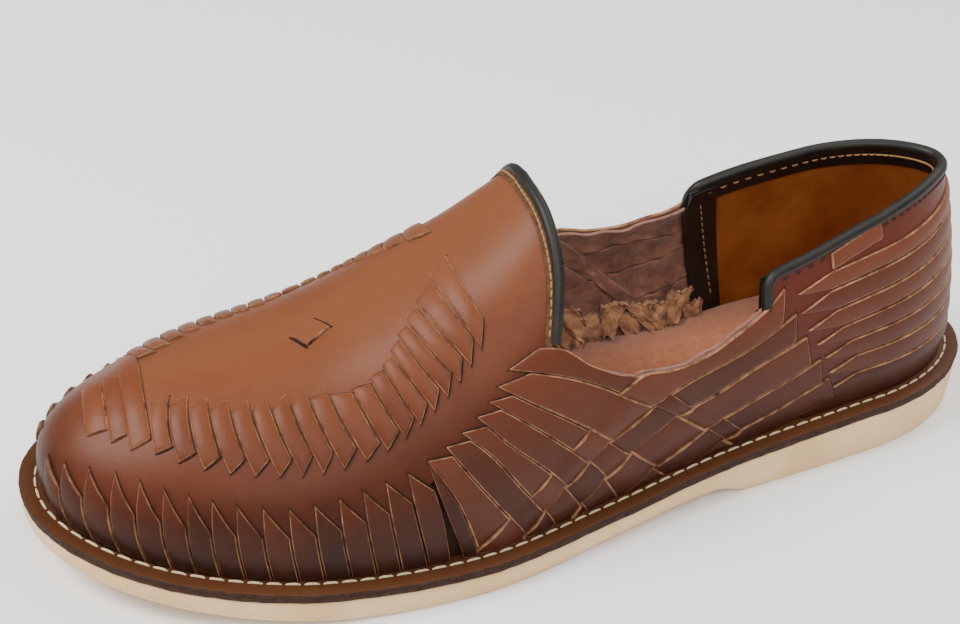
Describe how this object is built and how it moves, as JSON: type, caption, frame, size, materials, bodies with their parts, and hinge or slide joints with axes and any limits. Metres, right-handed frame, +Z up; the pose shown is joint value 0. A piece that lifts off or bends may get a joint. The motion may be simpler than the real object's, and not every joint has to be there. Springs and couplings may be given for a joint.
{
  "type": "huarache shoe",
  "caption": "Left huarache slip-on shoe: woven leather upper with closed toe, low cut quarters and open collar, stitched welt and crepe sole.",
  "frame": {"origin": "bottom centre of the shoe's box, on the floor", "axes": "+X to the toe, +Y to the wearer's left, which is this left shoe's outer side, +Z up"},
  "size_m": [0.298, 0.1078, 0.0966],
  "materials": {
    "crepe_rubber": "matte natural crepe",
    "sole_leather": "dark brown, rough cut edge",
    "insole_leather": "smooth tan brown",
    "woven_leather": "semi-gloss brown, pale cut edges",
    "binding_leather": "satin near black, folded"
  },
  "bodies": {
    "root": {"outsole": "crepe_rubber", "midsole": "sole_leather", "welt": "sole_leather", "insole": "insole_leather", "upper": "woven_leather", "vamp_binding": "binding_leather", "collar_binding": "binding_leather"}
  },
  "joints": []
}
